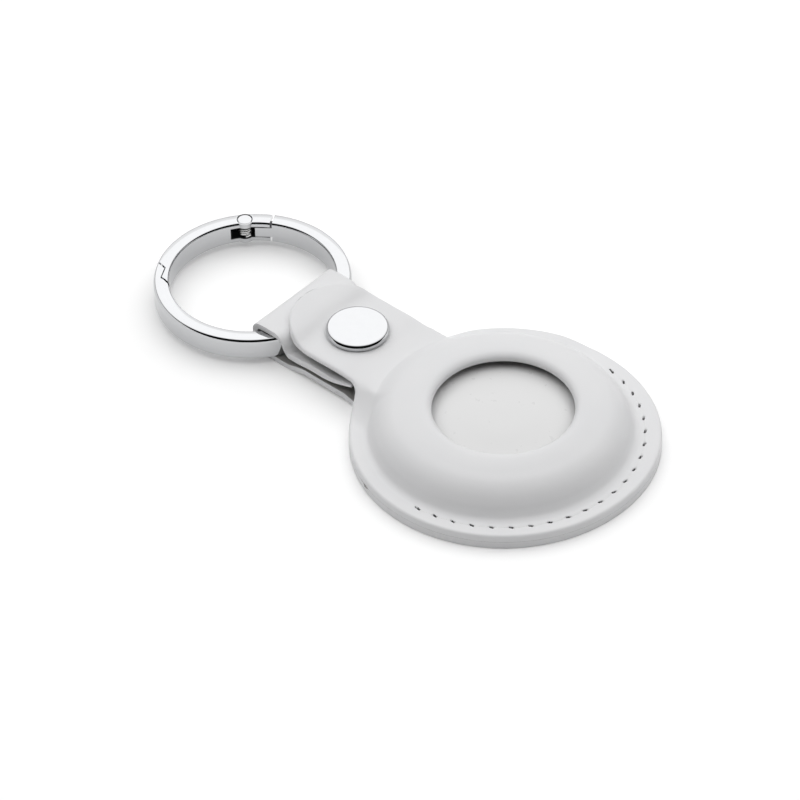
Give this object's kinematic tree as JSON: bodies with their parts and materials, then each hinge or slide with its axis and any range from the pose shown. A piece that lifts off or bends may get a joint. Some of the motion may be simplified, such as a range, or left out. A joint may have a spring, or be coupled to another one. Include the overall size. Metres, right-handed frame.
{
  "type": "tracker tag holder",
  "caption": "Round moulded leather holder for a coin-shaped tracker tag, with a round window, stitched rim, snap tab, strap loop and spring-gate key ring",
  "frame": {"origin": "middle of the disc on the flat back face that the holder rests on", "axes": "+Z out of the front face toward the window, +X from the disc's middle away from the strap and the ring, +Y across the strap"},
  "size_m": [0.0869, 0.045, 0.0077],
  "materials": {
    "white_leather": "fine matt grain, white, edges painted white",
    "seam_thread": "white waxed thread",
    "bright_nickel": "polished nickel plate",
    "spring_steel": "plain bright steel",
    "white_plastic": "glossy white plastic",
    "board_green": "green solder mask",
    "copper_wire": "enamelled copper winding",
    "contact_brass": "plain brass strip"
  },
  "bodies": {
    "holder": {"back_panel": "white_leather", "strap_end": "white_leather", "front_panel": "white_leather", "seam_thread_top": "seam_thread", "seam_thread_bobbin": "seam_thread", "snap_stud": "bright_nickel", "snap_post": "bright_nickel"},
    "flap": {"front_flap": "white_leather"},
    "tab": {"front_tab": "white_leather", "snap_cap": "bright_nickel", "snap_socket": "bright_nickel", "socket_spring": "spring_steel"},
    "loop": {"strap_loop": "white_leather"},
    "ring": {"ring_body": "bright_nickel"},
    "gate": {"ring_gate": "bright_nickel", "gate_pin": "spring_steel", "gate_spring": "spring_steel"},
    "tag": {"tag_shell": "white_plastic", "tag_tray": "white_plastic", "circuit_board": "board_green", "speaker_magnet": "spring_steel", "speaker_coil": "copper_wire", "battery_contact": "contact_brass", "coin_cell": "spring_steel", "tag_cover": "spring_steel"}
  },
  "joints": [
    {"name": "flap_open", "type": "hinge", "parent": "holder", "child": "flap", "pos_m": [0, 0, 0.0077], "axis": [0, 1, 0], "range_deg": [0, 35]},
    {"name": "tab_lift", "type": "hinge", "parent": "flap", "child": "tab", "pos_m": [-0.02089, 0, 0.0052], "axis": [0, 1, 0], "range_deg": [0, 120], "deforming": ["socket_spring"]},
    {"name": "ring_swing", "type": "hinge", "parent": "holder", "child": "loop", "pos_m": [-0.03321, 0, 0.0016], "axis": [0, 1, 0], "range_deg": [-60, 0], "deforming": ["strap_loop"]},
    {"name": "ring_spin", "type": "hinge", "parent": "loop", "child": "ring", "pos_m": [-0.04949, 0, 0.00275], "axis": [-0.0034, 0, 1], "continuous": true},
    {"name": "gate_open", "type": "hinge", "parent": "ring", "child": "gate", "pos_m": [-0.05948, 0.00909, 0.00272], "axis": [0.0034, 0, -1], "range_deg": [-38, 0], "stiffness_Nm_per_rad": 0.002, "springref_deg": 22.92, "deforming": ["gate_spring"]},
    {"name": "tag_turn", "type": "hinge", "parent": "holder", "child": "tag", "pos_m": [0, 0, 0.00115], "axis": [0, 0, 1], "continuous": true}
  ]
}
